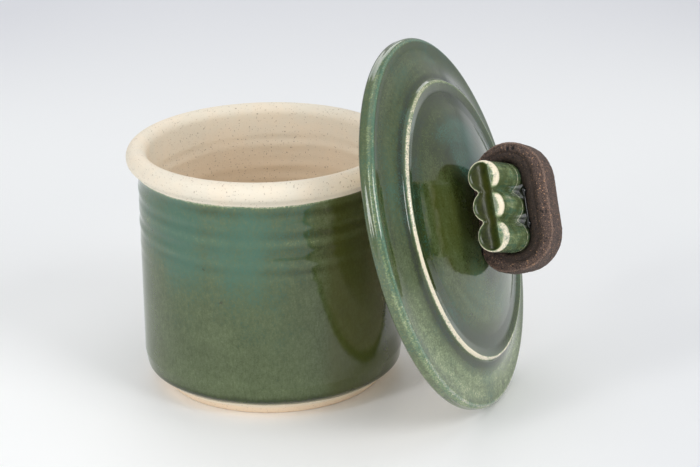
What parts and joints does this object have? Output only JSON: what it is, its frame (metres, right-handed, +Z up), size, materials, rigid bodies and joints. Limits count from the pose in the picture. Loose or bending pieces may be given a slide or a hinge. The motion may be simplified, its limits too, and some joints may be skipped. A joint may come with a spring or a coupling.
{
  "type": "lidded pottery jar",
  "caption": "Wheel-thrown stoneware jar with a rolled rim, and its wide disc lid with a loop-and-bar handle leaning against it.",
  "frame": {"origin": "middle of the jar's foot, on the surface it stands on", "axes": "+Z up the jar, +X towards the side where the lid leans, seen from -Y"},
  "size_m": [0.209, 0.1836, 0.174],
  "materials": {
    "green_glaze": "glossy mottled green glaze over buff stoneware, bare at the rim, inside and foot",
    "dark_clay": "unglazed dark brown groggy stoneware"
  },
  "bodies": {
    "root": {"jar": "green_glaze", "lid": "green_glaze", "handle_loop": "dark_clay", "handle_bar": "green_glaze"}
  },
  "joints": []
}
